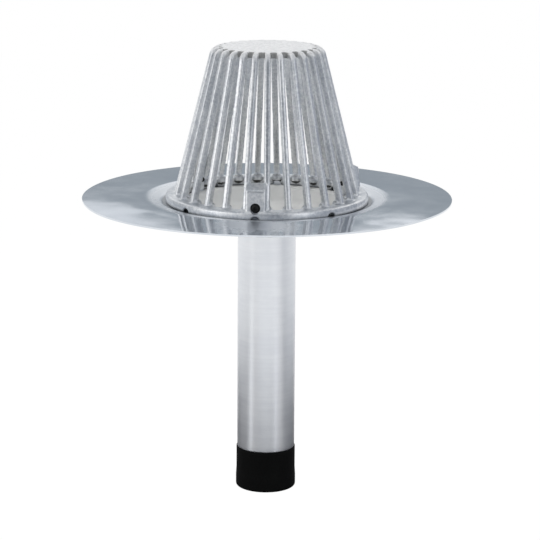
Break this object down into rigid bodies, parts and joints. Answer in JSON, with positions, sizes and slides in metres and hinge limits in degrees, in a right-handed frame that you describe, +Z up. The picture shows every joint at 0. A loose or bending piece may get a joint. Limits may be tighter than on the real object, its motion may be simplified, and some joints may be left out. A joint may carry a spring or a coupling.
{
  "type": "flat roof drain",
  "caption": "Retrofit roof drain: flat spun flange with a sump, a long outlet stem with a rubber seal, and a cone-shaped ribbed strainer dome over the sump.",
  "frame": {"origin": "on the drain's axis, in the plane of the flange's underside, which lies on the roof", "axes": "+Z up along the axis, from the stem to the strainer dome; one lug and its screw face -Y, half a rib pitch towards -X"},
  "size_m": [0.4444, 0.4444, 0.5465],
  "materials": {
    "spun_aluminium": "smooth mill finish with faint spinning marks",
    "tube_aluminium": "satin, with faint rings from turning",
    "cast_aluminium": "as cast, bright",
    "seal_rubber": "matte moulded",
    "black_screw": "black coated steel"
  },
  "bodies": {
    "root": {"drain_body": "spun_aluminium", "drain_stem": "tube_aluminium", "backflow_seal": "seal_rubber", "strainer_dome": "cast_aluminium", "dome_tab_1": "spun_aluminium", "dome_tab_2": "spun_aluminium", "dome_tab_3": "spun_aluminium", "lock_screws": "black_screw"}
  },
  "joints": []
}
